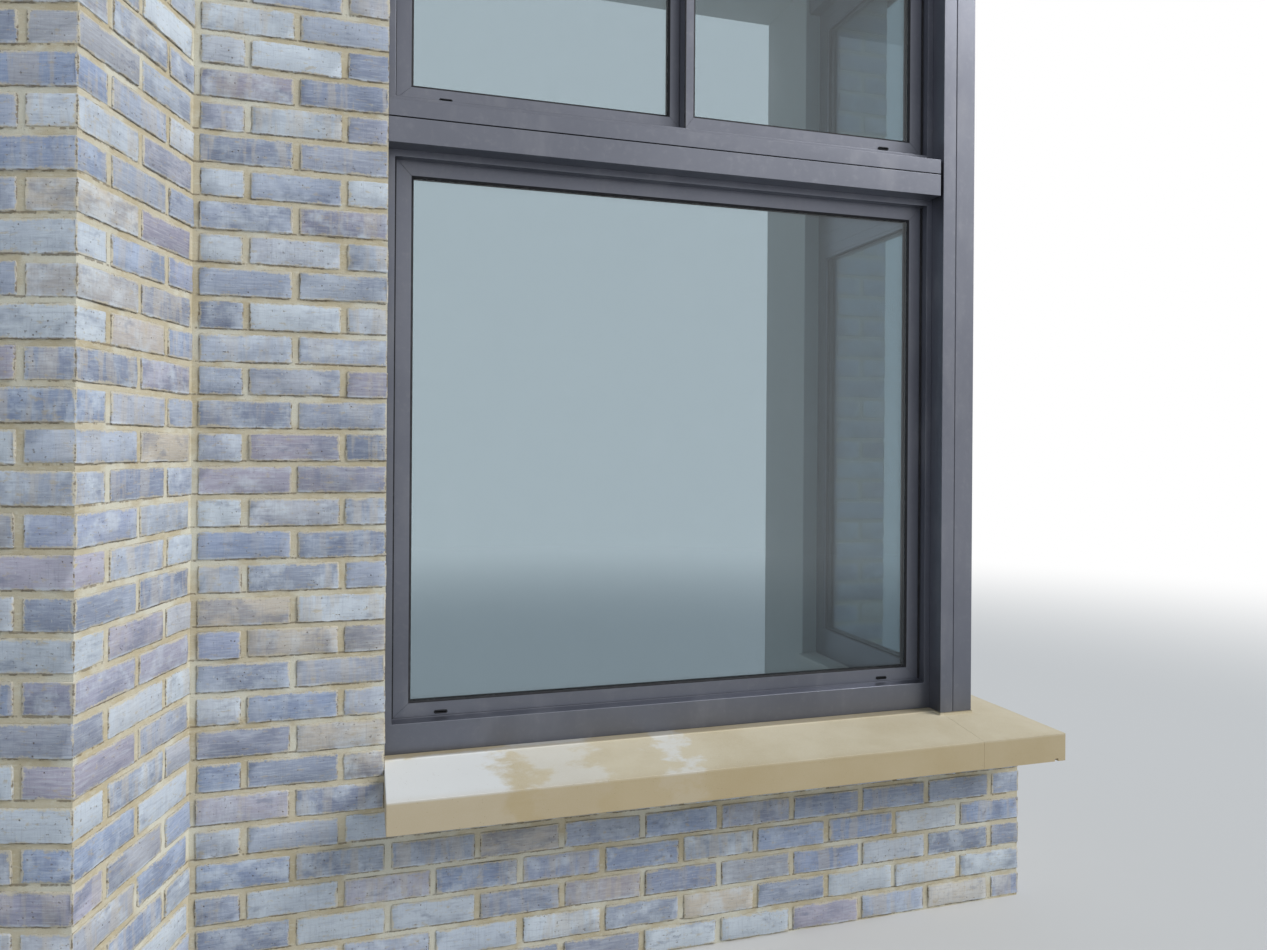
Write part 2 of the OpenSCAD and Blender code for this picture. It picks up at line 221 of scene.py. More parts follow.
class RoofSettings(PropertyGroup):
    deck_arris: length("Deck Arris", "Rounding of the roof deck", 0.0015)
    cover_arris: length("Covering Arris", "Rounding of the roof covering", 0.0010)
    lap: length("Lap", "Width of a lap in the roof covering", 0.06)
    lap_rise: length("Lap Rise", "Rise of the covering at a lap", 0.0022)
    lap_step: length("Lap Step", "Distance between laps", 0.95)
    membrane: colour("Membrane", "Rubber roof covering", rgb(84, 86, 90))
    timber: colour("Timber", "Roof deck", rgb(172, 142, 102))
    timber_dark: colour("Dark Timber", "Grain of the roof deck", rgb(116, 86, 56))


class StageSettings(PropertyGroup):
    floor_size: length("Floor Size", "Width of the floor", 44.0)
    floor: colour("Floor", "Colour of the floor", (0.64, 0.64, 0.64))
    sky: colour("Sky", "Soft light from all round", (0.80, 0.90, 1.0))
    sky_level: FloatProperty(name="Sky Level", description="Strength of the soft light", default=0.48)
    lamp_level: FloatProperty(name="Lamp Level", description="Strength of the lamp", default=2.45)
    lamp_spread: FloatProperty(
        name="Lamp Spread", description="Softness of the lamp", default=math.radians(30), subtype="ANGLE"
    )


SETTINGS = {
    "bay_brick": BrickSettings,
    "bay_stone": StoneSettings,
    "bay_metal": MetalSettings,
    "bay_glazing": GlazingSettings,
    "bay_lining": LiningSettings,
    "bay_roof": RoofSettings,
    "bay_stage": StageSettings,
}


# Materials


class Wire:
    """An output of a node. Arithmetic on wires adds the Math nodes that work it out."""

    def __init__(self, finish, socket):
        self.finish = finish
        self.socket = socket

    def math(self, operation, *others):
        return self.finish.add("Math", {"operation": operation}, dict(enumerate((self, *others))))

    def reflected(self, operation, other):
        return self.finish.add("Math", {"operation": operation}, {0: other, 1: self})

    def __add__(self, other):
        return self.math("ADD", other)

    def __radd__(self, other):
        return self.reflected("ADD", other)

    def __sub__(self, other):
        return self.math("SUBTRACT", other)

    def __rsub__(self, other):
        return self.reflected("SUBTRACT", other)

    def __mul__(self, other):
        return self.math("MULTIPLY", other)

    def __rmul__(self, other):
        return self.reflected("MULTIPLY", other)

    def __truediv__(self, other):
        return self.math("DIVIDE", other)

    def __rtruediv__(self, other):
        return self.reflected("DIVIDE", other)

    def __abs__(self):
        return self.math("ABSOLUTE")

    def __gt__(self, other):
        return self.math("GREATER_THAN", other)

    def __lt__(self, other):
        return self.math("LESS_THAN", other)

    def least(self, other):
        return self.math("MINIMUM", other)

    def most(self, other):
        return self.math("MAXIMUM", other)

    def between(self, start, end):
        """0 below start, 1 above end, and smooth in between."""
        settings = {"interpolation_type": "SMOOTHSTEP"}
        return self.finish.add("MapRange", settings, {"Value": self, "From Min": start, "From Max": end})


class Finish:
    """A material, or the world, and the nodes that feed its surface."""

    def __init__(self, name, shader="BsdfPrincipled", world=None):
        self.material = world or bpy.data.materials.new(name)
        self.material.use_nodes = True
        self.tree = self.material.node_tree
        self.tree.nodes.clear()
        self.output = self.tree.nodes.new("ShaderNodeOutputWorld" if world else "ShaderNodeOutputMaterial")
        if shader:
            self.shader = self.surface(self.add(shader)).socket.node

    def add(self, kind, settings=None, inputs=None, output=0):
        """Adds a node, sets it up, feeds its sockets with values or wires, and gives one of its outputs."""
        node = self.tree.nodes.new("ShaderNode" + kind)
        for name, value in (settings or {}).items():
            setattr(node, name, value)
        for name, value in (inputs or {}).items():
            self.feed(node.inputs[name], value)
        return Wire(self, node.outputs[output])

    def feed(self, socket, value):
        """Puts a number, colour, vector or wire into a socket."""
        if isinstance(value, Wire):
            self.tree.links.new(value.socket, socket)
        elif socket.type == "RGBA":
            socket.default_value = (*tuple(value)[:3], 1.0)
        else:
            socket.default_value = value

    def surface(self, wire):
        """Makes a shader's wire the surface."""
        self.feed(self.output.inputs["Surface"], wire)
        return wire

    def set(self, **inputs):
        """Feeds the shader's sockets. An underscore in a name stands for a space."""
        for name, value in inputs.items():
            self.feed(self.shader.inputs[name.replace("_", " ")], value)
        return self.material

    def place(self):
        """Object coordinates, in metres."""
        return self.add("TexCoord", output="Object")

    def axes(self, vector):
        """The three numbers of a vector."""
        node = self.add("SeparateXYZ", None, {0: vector}).socket.node
        return [Wire(self, node.outputs[axis]) for axis in range(3)]

    def vector(self, operation, first, second=None):
        inputs = {0: first} if second is None else {0: first, 1: second}
        return self.add("VectorMath", {"operation": operation}, inputs)

    def attribute(self, name, output="Vector"):
        """A value that the mesh carries."""
        return self.add("Attribute", {"attribute_name": name}, output=output)

    def noise(self, place, scale, detail=3.0, rough=0.55):
        """Cloudy noise from 0 to 1. Three scales stretch it along the axes."""
        if not isinstance(scale, (int, float)):
            place = self.vector("MULTIPLY", place, scale)
            scale = 1.0
        inputs = {"Vector": place, "Scale": scale, "Detail": detail, "Roughness": rough}
        return self.add("TexNoise", None, inputs)

    def cells(self, place, scale):
        """Distance to the nearest of many scattered points, in cells."""
        return self.add("TexVoronoi", None, {"Vector": place, "Scale": scale})

    def mix(self, amount, first, second):
        """Blends two colours by a share."""
        return self.add("Mix", {"data_type": "RGBA"}, {0: amount, 6: first, 7: second}, output=2)

    def bump(self, height, depth, strength=1.0):
        """A relief of that depth, in metres."""
        return self.add("Bump", None, {"Height": height, "Distance": depth, "Strength": strength})


def arris_distance(finish):
    """Distance from a point of a brick's face to the nearest arris, in metres."""
    spot = finish.vector("ABSOLUTE", finish.attribute("brick_spot"))
    first, second, third = finish.axes(finish.vector("SUBTRACT", finish.attribute("brick_half"), spot))
    return first.least(second).most(first.most(second).least(third))


def brick_finish(brick):
    """Stock brick with soft patches, kiln bands, drag lines, bloom, pits, and chips at the arrises, and a
    painted shade along each brick's foot.
    """
    finish = Finish("stock brick")
    seed = finish.attribute("brick_seed")
    spot = finish.vector("ADD", finish.attribute("brick_spot"), seed)
    own = finish.attribute("brick_colour", "Color")
    shares = [(axis * 0.1).math("FRACT") for axis in finish.axes(seed)]
    soft = finish.noise(spot, (7, 7, 12), 4, 0.6)
    cloud = finish.noise(spot, 19, 4, 0.62)
    band = finish.noise(spot, (38, 38, 5), 3)
    drag = finish.noise(spot, (22, 22, 400), 4, 0.7)
    cross = finish.noise(spot, (300, 300, 20), 3, 0.65)
    grain = finish.noise(spot, 800, 2, 0.7)
    crumbs = finish.noise(spot, 200, 3, 0.6)
    pits = 1 - finish.cells(spot, 70).between(0.05, 0.17)
    pits = pits * finish.noise(spot, 30, 1).between(0.52, 0.66)
    edge = arris_distance(finish)
    _, _, half_height = finish.axes(finish.attribute("brick_half"))
    _, _, height = finish.axes(finish.attribute("brick_spot"))
    foot = height + half_height
    base = finish.mix(soft.between(0.44, 0.62) * shares[2].between(0.1, 0.8) * 0.55, own, brick.soot)
    base = finish.mix(cloud.between(0.42, 0.68) * shares[0].between(0.1, 0.9) * 0.60, base, brick.bloom)
    base = finish.mix(band.between(0.47, 0.60) * shares[1].between(0.3, 0.9) * 0.42, base, brick.buff)
    blotch = finish.noise(spot, (13, 13, 26), 4, 0.6).between(0.60, 0.72)
    fleck = finish.noise(spot, (150, 150, 70), 3, 0.6).between(0.66, 0.76)
    crust = finish.noise(spot, (42, 42, 95), 4, 0.68).between(0.57, 0.70)
    streak = finish.noise(spot, (18, 18, 190), 3, 0.7)
    speck = finish.noise(spot, (120, 120, 160), 2, 0.6).between(0.66, 0.72)
    base = finish.mix(drag.between(0.44, 0.74) * 0.26, base, brick.bloom)
    base = finish.mix(streak.between(0.50, 0.64) * 0.17, base, brick.bloom)
    base = finish.mix(streak.between(0.46, 0.34) * 0.20, base, brick.soot)
    base = finish.mix(speck * 0.50, base, brick.chip_and_shade)
    base = finish.mix(blotch * 0.45, base, brick.soot)
    base = finish.mix(fleck * 0.40, base, brick.mortar_pale)
    base = finish.mix(crust * 0.52, base, brick.mortar_shade)
    base = finish.mix(cross.between(0.50, 0.76) * 0.22, base, brick.soot)
    smear = (edge + (cloud - 0.5) * 0.022 + (crumbs - 0.5) * 0.014).between(0.0052, 0.0008)
    base = finish.mix(smear * 0.80, base, brick.mortar)
    lip = foot.between(0.0085, 0.0030) * cloud.between(0.46, 0.58)
    base = finish.mix(lip * 0.50, base, brick.bloom)
    broken = finish.noise(spot, (30, 30, 30), 2)
    # Painted shade: a broken dark line along the foot of each brick, under its lower arris
    lower = (foot + (crumbs - 0.5) * 0.003).between(0.0026, 0.0012) * broken.between(0.42, 0.52)
    beside = (half_height - abs(height)).between(0.003, 0.007)
    notch = (edge + (crumbs - 0.45) * 0.012).between(0.0026, 0.0010) * beside * broken.between(0.46, 0.54)
    chips = (edge + (crumbs - 0.40) * 0.014).between(0.0014, 0.0002)
    base = finish.mix(lower.most(notch) * 0.60, base, brick.chip_and_shade)
    base = finish.mix(chips * 0.32, base, brick.chip_and_shade)
    base = finish.mix(grain.between(0.40, 0.75) * 0.10, base, brick.soot)
    base = finish.mix(pits * 0.75, base, brick.chip_and_shade)
    worn = pits * 0.9 + chips * 0.5 + notch * 0.6 + speck * 0.3
    relief = drag * 0.30 + streak * 0.20 + cross * 0.14 + grain * 0.20 + cloud * 0.45 - worn
    return finish.set(
        Base_Color=base,
        Roughness=0.80 + grain * 0.16,
        Specular_IOR_Level=0.22,
        Normal=finish.bump(relief, 0.0026, 0.8),
    )


def masonry_finish(name, brick, lining, plain):
    """Sandy mortar outside with a painted shade under each brick, and painted plaster in the room and on the
    cut ends, as plain tells.
    """
    finish = Finish(name)
    place = finish.place()
    cloud = finish.noise(place, 7, 4, 0.6)
    sand = finish.noise(place, 520, 3, 0.75)
    trowel = finish.noise(place, (60, 60, 190), 3)
    _, _, up = finish.axes(place)
    rise = ((up + brick.drop) / brick.course).math("FRACT") * brick.course
    foot = brick.joint / 2
    ragged = (finish.noise(place, 150, 3, 0.6) - 0.5) * 0.006
    # Painted shade: a thin broken dark line at the top of each bed joint, just under the brick above
    shade_under_bricks = (rise + ragged).between(foot - 0.0030, foot - 0.0016) * (rise < foot + 0.002)
    shade_under_bricks = shade_under_bricks * finish.noise(place, (34, 34, 9), 3, 0.6).between(0.45, 0.55)
    holes = 1 - finish.cells(place, 160).between(0.06, 0.20)
    holes = holes * finish.noise(place, 45, 1).between(0.54, 0.64)
    mortar = finish.mix(cloud.between(0.44, 0.60) * 0.55, brick.mortar, brick.mortar_shade)
    mortar = finish.mix(finish.noise(place, 5, 4, 0.6).between(0.48, 0.60) * 0.75, mortar, brick.mortar_pale)
    mortar = finish.mix(sand.between(0.42, 0.70) * 0.30, mortar, brick.mortar_shade)
    mortar = finish.mix(trowel.between(0.50, 0.72) * 0.35, mortar, brick.mortar_pale)
    mortar = finish.mix(shade_under_bricks * 0.60, mortar, brick.chip_and_shade)
    mortar = finish.mix(holes * 0.5, mortar, brick.chip_and_shade)
    roller = finish.noise(place, 210, 2)
    plaster = finish.mix(cloud.between(0.4, 0.7) * 0.10, lining.plaster, rgb(196, 193, 184))
    inside = plain(finish, place)
    rough = sand * 0.8 + trowel * 0.6 - holes * 0.8 - shade_under_bricks * 1.2
    height = rough * (1 - inside) + roller * 0.10 * inside
    return finish.set(
        Base_Color=finish.mix(inside, mortar, plaster),
        Roughness=0.92 - inside * 0.28,
        Specular_IOR_Level=0.2,
        Normal=finish.bump(height, 0.0020, 0.8),
    )


def stone_finish(stone):
    """Honey limestone with soft beds and shelly grain, painted shade on its front face and along the frame's
    foot, and pale patches of painted light on the wash.
    """
    finish = Finish("honey limestone")
    place = finish.place()
    across, out, up = finish.axes(place)
    foot = low("front_sill").z
    cloud = finish.noise(place, 3.2, 5, 0.6)
    bed = finish.noise(place, (3, 3, 34), 4)
    grain = finish.noise(place, 420, 3, 0.75)
    blot = finish.noise(place, (7, 9, 9), 5, 0.62)
    holes = 1 - finish.cells(place, 110).between(0.05, 0.16)
    holes = holes * finish.noise(place, 26, 1).between(0.5, 0.6)
    wash = up.between(foot + 0.072, foot + 0.084)
    ragged = blot - 0.5
    rim = (out - low("lower_front_frame").y + ragged * 0.09).between(-0.016, -0.034)
    # Painted light: pale patches on the sill's top near the pier's end and at two places along the front; the
    # blot term adds random pale stone
    end_patch = (across - PIER_X + ragged * 0.34).between(0.32, 0.26) * rim
    near_patch = (abs(across - PIER_X - 0.44) + ragged * 0.46).between(0.11, 0.05) * (1 - rim * 0.5)
    far_patch = (abs(across - PIER_X - 0.76) + ragged * 0.46).between(0.05, 0.0)
    pale_and_lit = end_patch.most(near_patch).most(far_patch * 0.7).most(blot.between(0.68, 0.76) * 0.5)
    # Painted shade: a dark line at the top of the sill, along the frame's foot
    frame_foot_shade = up.between(SILL_TOP - 0.0030, SILL_TOP - 0.0012)
    base = finish.mix(cloud.between(0.38, 0.68) * 0.55, stone.honey, stone.ochre)
    base = finish.mix(bed.between(0.5, 0.7) * 0.25, base, stone.ochre)
    base = finish.mix(grain.between(0.38, 0.72) * 0.22, base, stone.pale_and_lit)
    # Painted shade: the sill's front face below the wash is darkened towards ochre
    base = finish.mix((1 - wash) * 0.62, base, rgb(170, 149, 108))
    base = finish.mix(pale_and_lit * (0.12 + wash * 0.73), base, stone.pale_and_lit)
    base = finish.mix(frame_foot_shade * 0.55, base, rgb(92, 82, 64))
    base = finish.mix(holes * 0.40, base, rgb(124, 104, 74))
    height = grain * 0.6 + bed * 0.25 - holes * 0.9
    return finish.set(
        Base_Color=base,
        Roughness=0.74 + grain * 0.14,
        Specular_IOR_Level=0.3,
        Normal=finish.bump(height, 0.0012, 0.6),
    )


def metal_finish(metal):
    """Satin anodising: soft cloudiness, faint die lines along the bars, and dust."""
    finish = Finish("bronze anodising")
    place = finish.place()
    cloud = finish.noise(place, 2.2, 3, 0.5)
    wide = finish.noise(place, (3, 700, 700), 2)
    tall = finish.noise(place, (700, 700, 3), 2)
    dust = finish.noise(place, 60, 5, 0.65)
    film = finish.noise(place, (14, 14, 5), 4).between(0.50, 0.75)
    base = finish.mix(cloud.between(0.35, 0.68), metal.bronze, metal.bronze_dark)
    base = finish.mix(film * 0.10 + dust.between(0.50, 0.80) * 0.12, base, metal.dust)
    return finish.set(
        Base_Color=base,
        Metallic=0.86 - film * 0.10,
        Roughness=0.33 + cloud * 0.06 + film * 0.06 + dust.between(0.50, 0.80) * 0.08,
        Specular_IOR_Level=0.5,
        Normal=finish.bump(wide * 0.5 + tall * 0.5 + dust * 0.3, 0.00010, 0.30),
    )


def glass_finish(glazing):
    """Clear pane with a green tint. It mirrors more at a glance, and rain marks dull it a little."""
    finish = Finish("window glass", None)
    place = finish.place()
    marks = finish.noise(place, (9, 9, 3), 4).between(0.55, 0.80)
    clear = finish.add("BsdfTransparent", None, {"Color": glazing.tint})
    shine = finish.add("BsdfGlossy", None, {"Color": (0.96, 0.98, 1.0), "Roughness": 0.015})
    glance = finish.add("LayerWeight", None, {"Blend": 0.5}, output="Facing")
    mirror = glance.math("POWER", 5.0) * 0.9 + 0.045
    finish.surface(finish.add("MixShader", None, {0: mirror + marks * 0.012, 1: clear, 2: shine}))
    return finish.material


def rubber_finish(glazing):
    """Matt black rubber with a bloom of dust."""
    finish = Finish("black rubber")
    place = finish.place()
    dust = finish.noise(place, 55, 4, 0.6)
    grain = finish.noise(place, 1400, 2)
    base = finish.mix(dust.between(0.45, 0.75) * 0.28, glazing.rubber, rgb(84, 84, 88))
    return finish.set(
        Base_Color=base,
        Roughness=0.62 + dust * 0.25,
        Specular_IOR_Level=0.3,
        Normal=finish.bump(grain, 0.0002, 0.4),
    )


def spacer_finish(glazing):
    """Grey spacer bar with a row of fine holes."""
    finish = Finish("spacer bar")
    place = finish.place()
    across, _, up = finish.axes(place)
    rows = ((across + up) * 160).math("FRACT").between(0.35, 0.5)
    base = finish.mix(rows * 0.4, glazing.spacer, rgb(26, 27, 30))
    return finish.set(
        Base_Color=base,
        Metallic=0.6,
        Roughness=0.42 + finish.noise(place, 120, 2) * 0.15,
    )


def paint_finish(lining):
    """Satin paint on timber boards, with brush marks."""
    finish = Finish("painted boards")
    place = finish.place()
    brush = finish.noise(place, (5, 380, 380), 3)
    cloud = finish.noise(place, 5, 3)
    base = finish.mix(cloud.between(0.4, 0.7) * 0.16, lining.paint, rgb(206, 200, 186))
    return finish.set(
        Base_Color=base,
        Roughness=0.40 + brush * 0.16,
        Normal=finish.bump(brush, 0.0004, 0.5),
    )


def plaster_finish(lining):
    """Matt white ceiling with a roller's texture."""
    finish = Finish("ceiling plaster")
    place = finish.place()
    roller = finish.noise(place, 230, 3)
    cloud = finish.noise(place, 2.5, 3)
    base = finish.mix(cloud.between(0.4, 0.7) * 0.12, lining.plaster, rgb(204, 202, 194))
    return finish.set(
        Base_Color=base,
        Roughness=0.85 + roller * 0.1,
        Normal=finish.bump(roller, 0.0006, 0.5),
    )


def membrane_finish(roof):
    """Rubber roof covering, dusty and faintly dimpled."""
    finish = Finish("roof membrane")
    place = finish.place()
    dust = finish.noise(place, 6, 5, 0.6)
    weave = finish.noise(place, 480, 2)
    base = finish.mix(dust.between(0.42, 0.74) * 0.3, roof.membrane, rgb(122, 122, 118))
    return finish.set(
        Base_Color=base,
        Roughness=0.62 + dust * 0.25,
        Normal=finish.bump(weave * 0.4 + dust * 0.6, 0.0014, 0.5),
    )


def timber_finish(roof):
    """Sawn plywood: long grain with darker lines."""
    finish = Finish("deck timber")
    place = finish.place()
    grain = finish.noise(place, (2.2, 60, 160), 5, 0.65)
    fibre = finish.noise(place, (9, 700, 700), 2)
    base = finish.mix(grain.between(0.42, 0.66) * 0.65, roof.timber, roof.timber_dark)
    base = finish.mix(fibre.between(0.45, 0.7) * 0.25, base, rgb(196, 170, 130))
    return finish.set(
        Base_Color=base,
        Roughness=0.68 + fibre * 0.2,
        Normal=finish.bump(fibre * 0.6 + grain * 0.6, 0.0010, 0.6),
    )


# Modelling


def select_only(*objects):
    """Selects these objects and makes the first one active."""
    bpy.ops.object.select_all(action="DESELECT")
    for obj in objects:
        obj.select_set(True)
    bpy.context.view_layer.objects.active = objects[0]


def start_edit(obj, mode="FACE"):
    """Goes into edit mode on obj with nothing selected."""
    select_only(obj)
    bpy.ops.object.mode_set(mode="EDIT")
    bpy.ops.mesh.select_mode(type=mode)
    bpy.ops.mesh.select_all(action="DESELECT")


def end_edit():
    """Back to object mode."""
    bpy.ops.object.mode_set(mode="OBJECT")


def pick_faces(obj, test):
    """In edit mode, selects the faces that pass the test, which gets a face's middle and normal."""
    mesh = bmesh.from_edit_mesh(obj.data)
    for face in mesh.faces:
        face.select_set(bool(test(face.calc_center_median(), face.normal)))
    mesh.select_flush_mode()
    bmesh.update_edit_mesh(obj.data)


def pick_edges(obj, test):
    """In edit mode, selects the edges that pass the test, which gets an edge's two ends."""
    mesh = bmesh.from_edit_mesh(obj.data)
    for edge in mesh.edges:
        edge.select_set(bool(test(edge.verts[0].co, edge.verts[1].co)))
    bmesh.update_edit_mesh(obj.data)


def modify(obj, kind, **settings):
    """Adds a modifier and applies it."""
    select_only(obj)
    bpy.ops.object.modifier_add(type=kind)
    modifier = obj.modifiers[-1]
    for name, value in settings.items():
        setattr(modifier, name, value)
    bpy.ops.object.modifier_apply(modifier=modifier.name)


def round_edges(obj, width, segments=2):
    """Rounds every sharp edge and keeps the faces flat."""
    flatten(obj)
    angle = math.radians(30)
    modify(obj, "BEVEL", width=width, segments=segments, limit_method="ANGLE", angle_limit=angle)
    select_only(obj)
    bpy.ops.object.shade_smooth_by_angle(angle=math.radians(35))
    modify(obj, "WEIGHTED_NORMAL", keep_sharp=True)


def settle(obj, turn=0.0):
    """Turns obj about the vertical through the origin, and puts its place into its mesh."""
    select_only(obj)
    obj.matrix_world = Matrix.Rotation(turn, 4, "Z") @ obj.matrix_world
    bpy.ops.object.transform_apply(location=True, rotation=True, scale=True)


def merged(objects, name):
    """Joins objects into one under a new name."""
    select_only(*objects)
    if len(objects) > 1:
        bpy.ops.object.join()
    obj = bpy.context.view_layer.objects.active
    obj.name = name
    obj.data.name = name
    return obj


def block(name, start, end):
    """A block between two corners, ready to be shaped."""
    start = Vector(start)
    end = Vector(end)
    bpy.ops.object.select_all(action="DESELECT")
    bpy.ops.mesh.primitive_cube_add(size=1, location=(start + end) / 2)
    obj = bpy.context.object
    obj.scale = end - start
    obj.name = name
    settle(obj)
    return obj


def ring(name, start, end, width, front_slope=0.0):
    """A four-sided frame between two corners, width wide. front_slope sinks the inner edge of its front."""
    start = Vector(start)
    end = Vector(end)
    middle = (start + end) / 2
    bpy.ops.object.select_all(action="DESELECT")
    bpy.ops.mesh.primitive_plane_add(
        size=1, location=(middle.x, end.y, middle.z), rotation=(math.pi / 2, 0, 0)
    )
    obj = bpy.context.object
    obj.scale = (end.x - start.x, end.z - start.z, 1)
    obj.name = name
    settle(obj)
    start_edit(obj)
    bpy.ops.mesh.select_all(action="SELECT")
    bpy.ops.mesh.inset(thickness=width)
    bpy.ops.mesh.delete(type="FACE")
    bpy.ops.mesh.select_all(action="SELECT")
    bpy.ops.mesh.extrude_region_move(TRANSFORM_OT_translate={"value": (0, start.y - end.y, 0)})
    bpy.ops.mesh.select_mode(type="VERT")
    mesh = bmesh.from_edit_mesh(obj.data)
    for vert in mesh.verts:
        inner = abs(vert.co.x - middle.x) < (end.x - start.x) / 2 - width / 2
        inner = inner and abs(vert.co.z - middle.z) < (end.z - start.z) / 2 - width / 2
        vert.select_set(inner and vert.co.y < middle.y)
    bmesh.update_edit_mesh(obj.data)
    bpy.ops.transform.translate(value=(0, front_slope, 0))
    bpy.ops.mesh.select_all(action="SELECT")
    bpy.ops.mesh.normals_make_consistent(inside=False)
    end_edit()
    return obj


def copy_of(node, name):
    """A copy of a CAD node's mesh with its doubles merged."""
    obj = bpy.data.objects.new(name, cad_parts[node].data.copy())
    obj.data.name = name
    obj.data.materials.clear()
    bpy.context.collection.objects.link(obj)
    weld(obj, 0.00002)
    return obj


def weld(obj, reach):
    """Merges the corners that lie within reach of each other."""
    start_edit(obj)
    bpy.ops.mesh.select_all(action="SELECT")
    bpy.ops.mesh.remove_doubles(threshold=reach)
    end_edit()


def flatten(obj):
    """Makes each flat face one whole face, ready for rounding."""
    start_edit(obj)
    bpy.ops.mesh.select_all(action="SELECT")
    bpy.ops.mesh.dissolve_limited(angle_limit=math.radians(0.5))
    end_edit()


def dress(obj, material, slot, *nodes):
    """Gives a finished piece its material and body; slot is not used. It stands for these CAD nodes."""
    if not obj.data.materials:
        obj.data.materials.append(material)
    obj.data.materials[0] = material
    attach(obj, "root")
    if nodes:
        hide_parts(*nodes)


def dressed_copy(node, name, material, slot, arris, segments=2):
    """A CAD node's shape with rounded edges and its finish. It stands for the node."""
    piece = copy_of(node, name)
    round_edges(piece, arris, segments)
    dress(piece, material, slot, node)


def paint_node(node, material):
    """Gives a CAD node that stays its material."""
    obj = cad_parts[node]
    for place in obj.material_slots:
        place.material = material


def turned_box(node, turn):
    """Corners of a CAD node's box, turned back so that the window runs along X and goes in along Y."""
    back = Matrix.Rotation(-turn, 3, "Z")
    corners = [back @ low(node), back @ high(node)]
    start = Vector(min(c[axis] for c in corners) for axis in range(3))
    end = Vector(max(c[axis] for c in corners) for axis in range(3))
    return start, end


def sight(light, glazing):
    """The seen glass of a light as the corners of a box, in its window's own directions."""
    start, end = turned_box(light + "_glass", LIGHTS[light][1])
    side = glazing.cover - glazing.slip
    return start + Vector((side, 0, glazing.cover)), end - Vector((side, 0, side))


# Brickwork


def brick_pattern(name, span, brick, seed):
    """One worn brick, its middle at the origin, its length along X and its ragged face towards -Y."""
    size = Vector((span, brick.brick / 2 - brick.perpend, brick.course - brick.joint))
    obj = block(name, -size / 2, size / 2)
    chance = random.Random(seed)
    start_edit(obj, "EDGE")
    pick_edges(obj, lambda a, b: abs(a.y - b.y) > size.y / 2)
    bpy.ops.mesh.bevel(offset=brick.arris * 1.3, segments=1, affect="EDGES")
    bpy.ops.mesh.select_mode(type="FACE")
    pick_faces(obj, lambda middle, normal: normal.y < -0.9)
    bpy.ops.mesh.inset(thickness=brick.arris)
    bpy.ops.transform.translate(value=(0, -brick.arris * 0.6, 0))
    cuts = round(span / CHIP_STEP)
    for index in range(1, cuts):
        place = (index / cuts - 0.5) * span + chance.uniform(-CHIP_STEP / 6, CHIP_STEP / 6)
        pick_faces(obj, lambda middle, normal: normal.y < -0.1)
        bpy.ops.mesh.bisect(plane_co=(place, 0, 0), plane_no=(1, 0, 0))
    for place in (-0.18, 0.2):
        pick_faces(obj, lambda middle, normal: normal.y < -0.1 and abs(middle.x) > span / 2 - brick.arris * 2)
        bpy.ops.mesh.bisect(plane_co=(0, 0, place * size.z), plane_no=(0, 0, 1))
    bpy.ops.mesh.select_mode(type="VERT")
    mesh = bmesh.from_edit_mesh(obj.data)
    for vert in mesh.verts:
        vert.select_set(vert.co.y < -size.y / 2 + brick.arris)
    bmesh.update_edit_mesh(obj.data)
    bpy.ops.transform.vertex_random(offset=brick.arris * 0.85, seed=seed)
    end_edit()
    select_only(obj)
    bpy.ops.object.shade_smooth_by_angle(angle=math.radians(50))
    for attribute in ("brick_spot", "brick_half", "brick_seed"):
        obj.data.attributes.new(attribute, "FLOAT_VECTOR", "POINT")
    obj.data.attributes.new("brick_colour", "FLOAT_COLOR", "POINT")
    return obj


